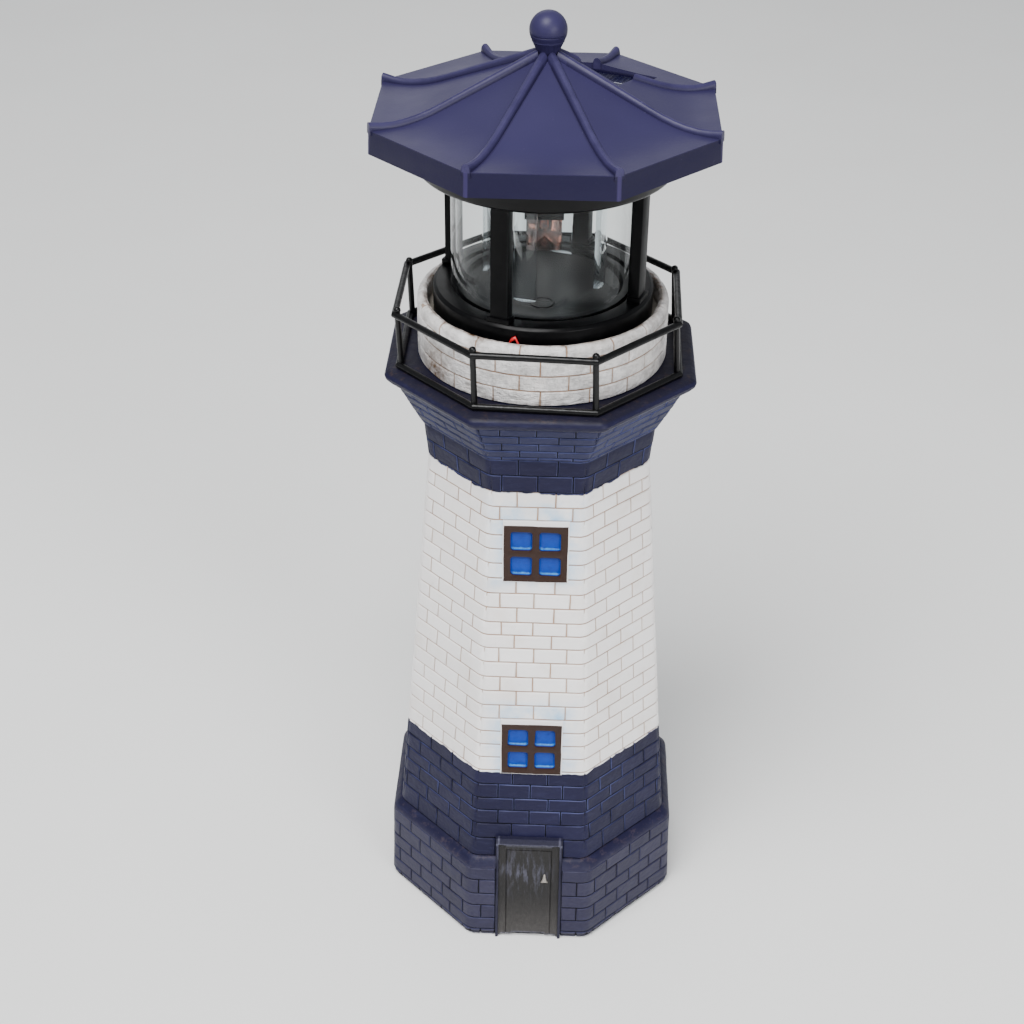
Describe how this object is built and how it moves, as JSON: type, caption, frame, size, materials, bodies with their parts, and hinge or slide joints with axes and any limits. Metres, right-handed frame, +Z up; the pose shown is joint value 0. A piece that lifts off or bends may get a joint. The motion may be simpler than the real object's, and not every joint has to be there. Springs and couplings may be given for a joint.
{
  "type": "garden lighthouse lamp",
  "caption": "Octagonal garden lighthouse: hollow cast tower with windows, door and railing, and a lift-out solar lantern whose lens is turned by a small geared motor.",
  "frame": {"origin": "middle of the foot, on the ground", "axes": "+Z up the tower's axis, -Y out of the door and windows, +X to the right of someone facing the door"},
  "size_m": [0.114, 0.1142, 0.356],
  "materials": {
    "tower_resin": "matte",
    "rail_wire": "gloss",
    "black_plastic": "gloss",
    "clear_plastic": "gloss",
    "dark_plastic": "satin",
    "screw_steel": "satin",
    "cell_sleeve": "satin",
    "contact_plating": "satin",
    "gear_plastic": "satin",
    "brass": "satin",
    "led_lens": "gloss",
    "board_laminate": "satin",
    "chip_black": "matte",
    "coil_copper": "satin",
    "roof_paint": "satin",
    "solar_face": "gloss",
    "red_insulation": "satin"
  },
  "bodies": {
    "tower": {"tower_casting": "tower_resin", "rail_top": "rail_wire", "rail_bottom": "rail_wire", "rail_posts": "rail_wire"},
    "lantern": {"lantern_base": "black_plastic", "post_1": "black_plastic", "post_2": "black_plastic", "post_3": "black_plastic", "post_4": "black_plastic", "lantern_glass": "clear_plastic", "ceiling_bowl": "black_plastic", "battery_housing": "dark_plastic", "housing_screws": "screw_steel", "battery_cell": "cell_sleeve", "positive_contact": "contact_plating", "negative_contact": "contact_plating", "battery_spring": "contact_plating", "switch_body": "screw_steel", "gear_bridge": "dark_plastic", "bridge_screws": "screw_steel", "idler_pin": "screw_steel", "motor_can": "screw_steel", "motor_cap": "gear_plastic", "spindle": "brass", "led_holder": "black_plastic", "led": "led_lens", "light_block": "clear_plastic", "circuit_board": "board_laminate", "board_chip": "chip_black", "board_coil": "coil_copper", "roof_shell": "roof_paint", "roof_screws": "screw_steel", "finial": "roof_paint", "solar_panel": "board_laminate", "solar_cells": "solar_face", "red_lead": "red_insulation"},
    "battery_door": {"battery_door": "dark_plastic", "door_screw": "screw_steel"},
    "switch_slider": {"switch_slider": "black_plastic"},
    "lens": {"carrier_gear": "gear_plastic", "lens_carrier": "clear_plastic"},
    "idler": {"idler_gear": "gear_plastic"},
    "motor_rotor": {"motor_shaft": "screw_steel", "motor_pinion": "brass"}
  },
  "joints": [
    {"name": "lantern_lift", "type": "slide", "parent": "tower", "child": "lantern", "axis": [0, 0, 1], "range_m": [0, 0.06]},
    {"name": "battery_door_off", "type": "slide", "parent": "lantern", "child": "battery_door", "axis": [0, 0, -1], "range_m": [0, 0.025]},
    {"name": "switch_slide", "type": "slide", "parent": "lantern", "child": "switch_slider", "axis": [1, 0, 0], "range_m": [0, 0.002]},
    {"name": "lens_turn", "type": "hinge", "parent": "lantern", "child": "lens", "pos_m": [0, 0, 0.309], "axis": [0, 0, 1], "continuous": true},
    {"name": "idler_turn", "type": "hinge", "parent": "lantern", "child": "idler", "pos_m": [0.00413, -0.01861, 0.31], "axis": [0, 0, 1], "continuous": true},
    {"name": "motor_turn", "type": "hinge", "parent": "lantern", "child": "motor_rotor", "pos_m": [-0.00871, -0.02103, 0.314], "axis": [0, 0, 1], "continuous": true}
  ],
  "couplings": [
    {"joint": "idler_turn", "follows": "lens_turn", "ratio": -4.4286},
    {"joint": "motor_turn", "follows": "lens_turn", "ratio": 14.762}
  ]
}
